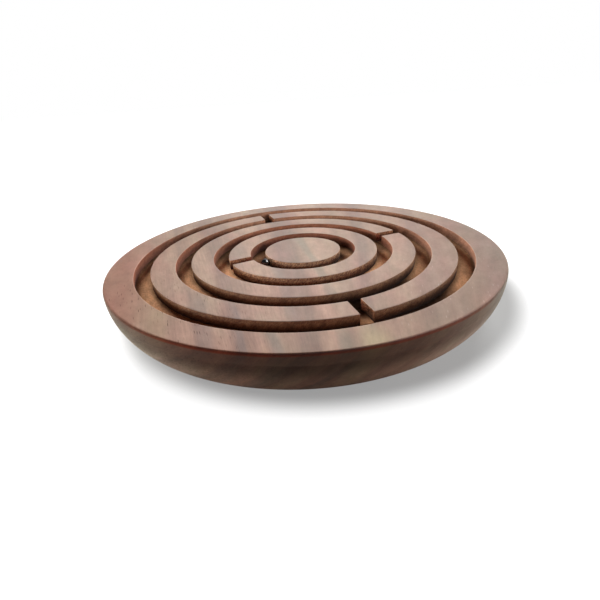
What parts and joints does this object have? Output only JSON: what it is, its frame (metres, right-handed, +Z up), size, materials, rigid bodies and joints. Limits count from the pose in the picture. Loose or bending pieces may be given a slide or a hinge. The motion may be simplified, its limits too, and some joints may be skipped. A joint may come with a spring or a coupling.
{
  "type": "dexterity puzzle",
  "caption": "Round wooden ball maze: ring channels with gates sunk into a thick disc with a rounded edge, and a loose steel ball steered by tilting it.",
  "frame": {"origin": "middle of the flat underside", "axes": "+Z up through the centre of the rings, the player on the -Y side, +X to the player's right"},
  "size_m": [0.13, 0.13, 0.015],
  "materials": {
    "base_wood": "oiled and polished outside, golden brown where freshly cut",
    "rim_wood": "oiled and polished",
    "wall_wood": "oiled and polished on top, rough cut sides",
    "polished_steel": "mirror polished"
  },
  "bodies": {
    "board": {"base_disc": "base_wood", "rim_ring": "rim_wood", "outer_wall_left": "wall_wood", "outer_wall_right": "wall_wood", "middle_wall": "wall_wood", "inner_wall": "wall_wood", "centre_disc": "wall_wood"},
    "ball": {"steel_ball": "polished_steel"}
  },
  "joints": [
    {"name": "ball_orbit", "type": "hinge", "parent": "board", "child": "ball", "pos_m": [0, 0, 0.0134], "axis": [0, 0, 1], "continuous": true}
  ]
}
